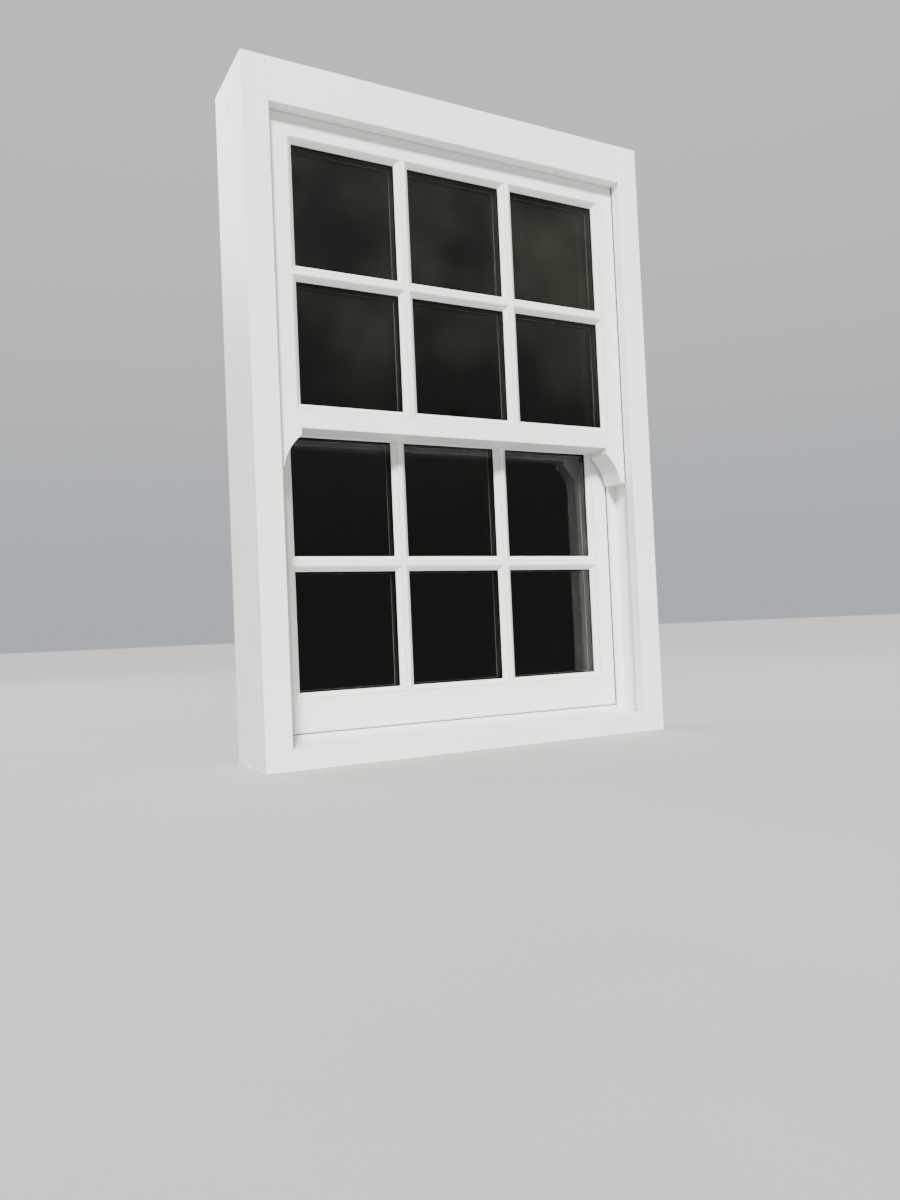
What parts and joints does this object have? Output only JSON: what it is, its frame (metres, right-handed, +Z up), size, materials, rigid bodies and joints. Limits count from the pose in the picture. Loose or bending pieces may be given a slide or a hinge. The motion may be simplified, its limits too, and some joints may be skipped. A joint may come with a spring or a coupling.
{
  "type": "sliding sash window",
  "caption": "White timber sash window in its frame: both sashes slide, with glazing bars, double glazed panes, horns, outer lining, parting and staff beads and a weathered sill.",
  "frame": {"origin": "bottom centre of the part: the middle of the window's width and of its depth with the lifts, on the underside of the sill", "axes": "+Z up, +X to the right as seen from the weather side, +Y towards the room"},
  "size_m": [0.7, 0.145, 1.01],
  "materials": {
    "white_timber": "white satin paint on timber",
    "glass": "clear float glass",
    "spacer": "black warm-edge spacer",
    "balance_tube": "white tube",
    "spring_steel": "bright steel",
    "bush_nylon": "moulded nylon",
    "chrome": "polished",
    "screw_steel": "zinc plated"
  },
  "bodies": {
    "frame": {"sill": "white_timber", "head": "white_timber", "jamb_left": "white_timber", "jamb_right": "white_timber", "outer_lining_left": "white_timber", "outer_lining_right": "white_timber", "outer_lining_head": "white_timber", "parting_bead_left": "white_timber", "parting_bead_right": "white_timber", "parting_bead_head": "white_timber", "staff_bead_left": "white_timber", "staff_bead_right": "white_timber", "staff_bead_head": "white_timber", "staff_bead_sill": "white_timber", "balance_tubes": "balance_tube", "balance_springs": "spring_steel", "frame_screws": "screw_steel"},
    "upper_sash": {"upper_stile_left": "white_timber", "upper_stile_right": "white_timber", "upper_top_rail": "white_timber", "upper_meeting_rail": "white_timber", "upper_bars": "white_timber", "upper_cross_bars": "white_timber", "upper_glass_1": "glass", "upper_glass_2": "glass", "upper_glass_3": "glass", "upper_glass_4": "glass", "upper_glass_5": "glass", "upper_glass_6": "glass", "upper_spacers": "spacer", "upper_glazing_beads": "white_timber", "upper_spiral_rod_left": "spring_steel", "upper_spiral_rod_right": "spring_steel", "fastener_keep": "chrome", "upper_sash_screws": "screw_steel"},
    "lower_sash": {"lower_stile_left": "white_timber", "lower_stile_right": "white_timber", "lower_meeting_rail": "white_timber", "lower_bottom_rail": "white_timber", "lower_bars": "white_timber", "lower_cross_bars": "white_timber", "lower_glass_1": "glass", "lower_glass_2": "glass", "lower_glass_3": "glass", "lower_glass_4": "glass", "lower_glass_5": "glass", "lower_glass_6": "glass", "lower_spacers": "spacer", "lower_glazing_beads": "white_timber", "lower_spiral_rod_left": "spring_steel", "lower_spiral_rod_right": "spring_steel", "sash_lift_left": "chrome", "sash_lift_right": "chrome", "fastener_body": "chrome", "lower_sash_screws": "screw_steel"},
    "fastener_lever": {"fastener_lever": "chrome"},
    "upper_balance_bush_left": {"upper_balance_bush_left": "bush_nylon"},
    "upper_balance_bush_right": {"upper_balance_bush_right": "bush_nylon"},
    "lower_balance_bush_left": {"lower_balance_bush_left": "bush_nylon"},
    "lower_balance_bush_right": {"lower_balance_bush_right": "bush_nylon"}
  },
  "joints": [
    {"name": "upper_sash_slide", "type": "slide", "parent": "frame", "child": "upper_sash", "axis": [0, 0, -1], "range_m": [0, 0.35]},
    {"name": "lower_sash_slide", "type": "slide", "parent": "frame", "child": "lower_sash", "axis": [0, 0, 1], "range_m": [0, 0.38]},
    {"name": "fastener_swing", "type": "hinge", "parent": "lower_sash", "child": "fastener_lever", "pos_m": [0, 0.0235, 0.531], "axis": [0, 0, -1], "range_deg": [-60, 35]},
    {"name": "upper_balance_bush_left_turn", "type": "hinge", "parent": "frame", "child": "upper_balance_bush_left", "pos_m": [-0.316, -0.029, 0.554], "axis": [0, 0, 1], "range_deg": [0, 2106]},
    {"name": "upper_balance_bush_right_turn", "type": "hinge", "parent": "frame", "child": "upper_balance_bush_right", "pos_m": [0.316, -0.029, 0.554], "axis": [0, 0, 1], "range_deg": [0, 2106]},
    {"name": "lower_balance_bush_left_turn", "type": "hinge", "parent": "frame", "child": "lower_balance_bush_left", "pos_m": [-0.316, 0.023, 0.4705], "axis": [0, 0, 1], "range_deg": [-2286, 0]},
    {"name": "lower_balance_bush_right_turn", "type": "hinge", "parent": "frame", "child": "lower_balance_bush_right", "pos_m": [0.316, 0.023, 0.4705], "axis": [0, 0, 1], "range_deg": [-2286, 0]}
  ],
  "couplings": [
    {"joint": "upper_balance_bush_left_turn", "follows": "upper_sash_slide", "rad_per_m": 104.72},
    {"joint": "upper_balance_bush_right_turn", "follows": "upper_sash_slide", "rad_per_m": 104.72},
    {"joint": "lower_balance_bush_left_turn", "follows": "lower_sash_slide", "rad_per_m": -104.72},
    {"joint": "lower_balance_bush_right_turn", "follows": "lower_sash_slide", "rad_per_m": -104.72}
  ]
}
